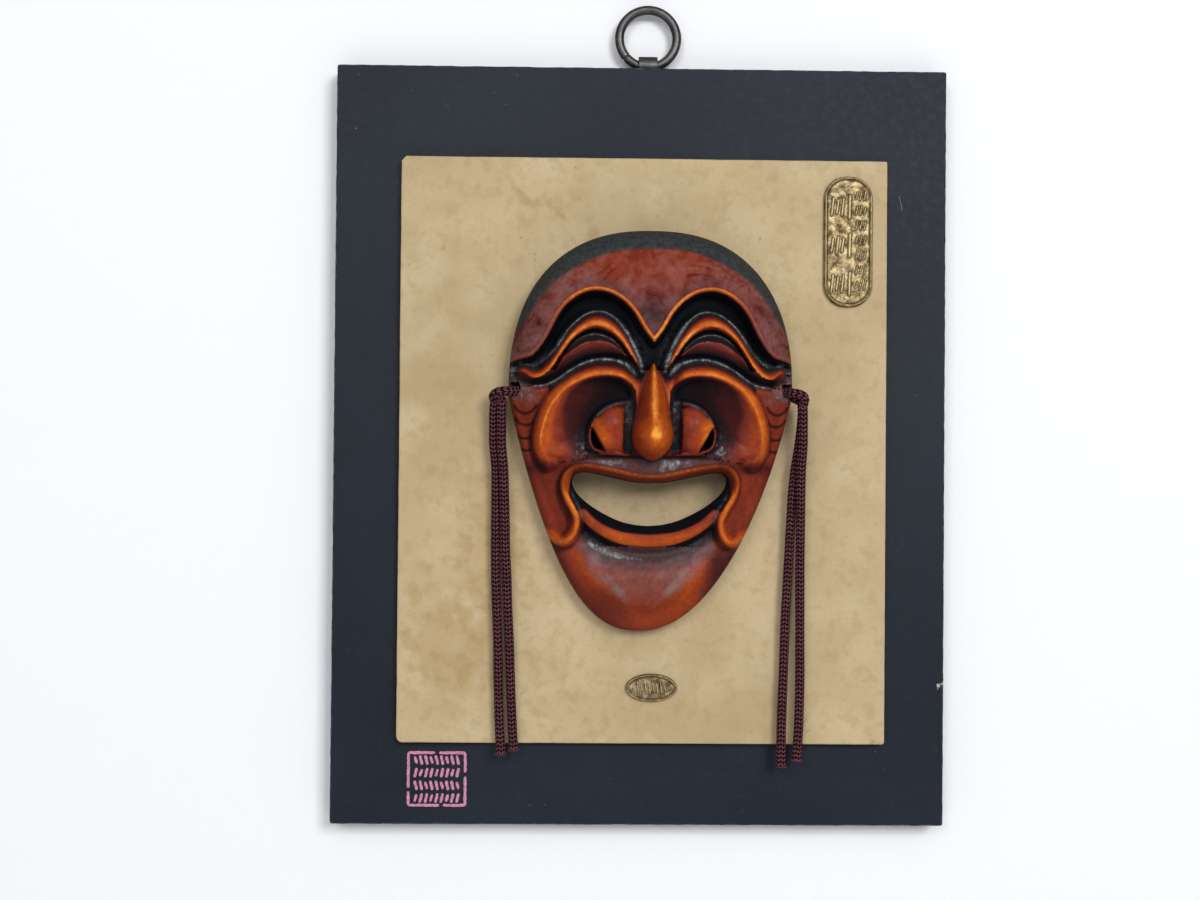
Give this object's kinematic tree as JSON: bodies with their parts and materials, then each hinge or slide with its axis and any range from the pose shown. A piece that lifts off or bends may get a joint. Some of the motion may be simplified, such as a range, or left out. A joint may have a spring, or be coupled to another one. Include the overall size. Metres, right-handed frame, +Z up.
{
  "type": "korean theatre mask plaque",
  "caption": "Souvenir wall plaque: a hollow laughing theatre mask with cords on a parchment panel and a black board, hung by a ring.",
  "frame": {"origin": "middle of the board's back face, which lies on the wall", "axes": "+Z up the height of the plaque, +X to the right of a viewer, +Y into the wall; the mask faces -Y"},
  "size_m": [0.202, 0.0495, 0.2725],
  "materials": {
    "black_paint": "wooden board in dusty blue-black satin paint, with worn edges, small chips and light specks",
    "parchment": "matte mottled beige paper over a thin board, with brown water stains and fine specks",
    "lacquer": "cast resin in red-brown lacquer, orange on the ridges, blue-black with grey dust in the recesses",
    "aged_brass": "cast brass with dark patina in the ground and bright rubbed edges",
    "gunmetal": "dark plated steel wire and strip, satin, rubbed brighter where they touch",
    "maroon_braid": "round braided maroon cord with lighter chevron stitches, cut ends slightly melted"
  },
  "bodies": {
    "plaque": {"backing_board": "black_paint", "backing_panel": "parchment", "theatre_mask": "lacquer", "title_plate": "aged_brass", "name_plate": "aged_brass", "hanger_strap": "gunmetal", "hanger_screw_upper": "gunmetal", "hanger_screw_lower": "gunmetal", "cord_knot_left": "maroon_braid", "cord_knot_right": "maroon_braid", "cord_left_outer": "maroon_braid", "cord_left_inner": "maroon_braid", "cord_right_inner": "maroon_braid", "cord_right_outer": "maroon_braid"},
    "ring": {"hanging_ring": "gunmetal"}
  },
  "joints": [
    {"name": "ring_swing", "type": "hinge", "parent": "plaque", "child": "ring", "pos_m": [0.0019, -0.0035, 0.127], "axis": [1, 0, 0], "range_deg": [-88, 88]}
  ]
}
